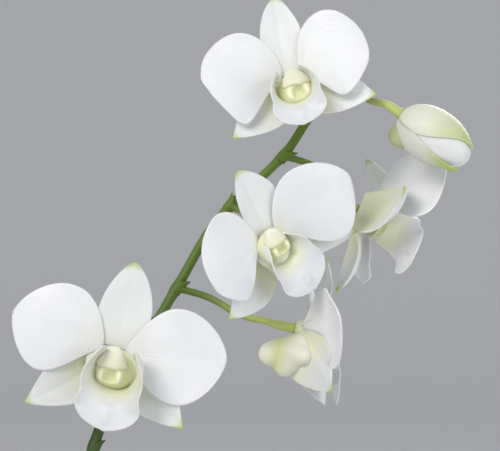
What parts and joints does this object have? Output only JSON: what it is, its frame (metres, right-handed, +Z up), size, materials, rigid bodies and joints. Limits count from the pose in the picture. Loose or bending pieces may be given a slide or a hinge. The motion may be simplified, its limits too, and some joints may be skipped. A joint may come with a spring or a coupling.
{
  "type": "potted dendrobium orchid",
  "caption": "White dendrobium orchid in a round clay pot: cane stems with strap leaves and an arching spike of open blooms and a bud.",
  "frame": {"origin": "middle of the underside of the pot", "axes": "+Z up the plant, the blooms face -Y, the flower spike arches towards +X"},
  "size_m": [0.2413, 0.1437, 0.4712],
  "materials": {
    "clay": "matte",
    "bark": "matte",
    "cane": "satin",
    "leaf": "satin",
    "spike": "satin",
    "petal": "matte",
    "lip": "matte",
    "column": "satin",
    "bud": "matte"
  },
  "bodies": {
    "root": {"pot": "clay", "bark": "bark", "cane_1": "cane", "cane_2": "cane", "cane_3": "cane", "cane_4": "cane", "leaf_1": "leaf", "leaf_2": "leaf", "leaf_3": "leaf", "leaf_4": "leaf", "leaf_5": "leaf", "leaf_6": "leaf", "leaf_7": "leaf", "leaf_8": "leaf", "leaf_9": "leaf", "leaf_10": "leaf", "leaf_11": "leaf", "spike": "spike", "bloom_1_tepals": "petal", "bloom_1_lip": "lip", "bloom_1_column": "column", "bloom_2_tepals": "petal", "bloom_2_lip": "lip", "bloom_2_column": "column", "bloom_3_tepals": "petal", "bloom_3_lip": "lip", "bloom_3_column": "column", "bloom_4_tepals": "petal", "bloom_4_lip": "lip", "bloom_4_column": "column", "bloom_5_tepals": "petal", "bloom_5_lip": "lip", "bloom_5_column": "column", "bud": "bud"}
  },
  "joints": []
}
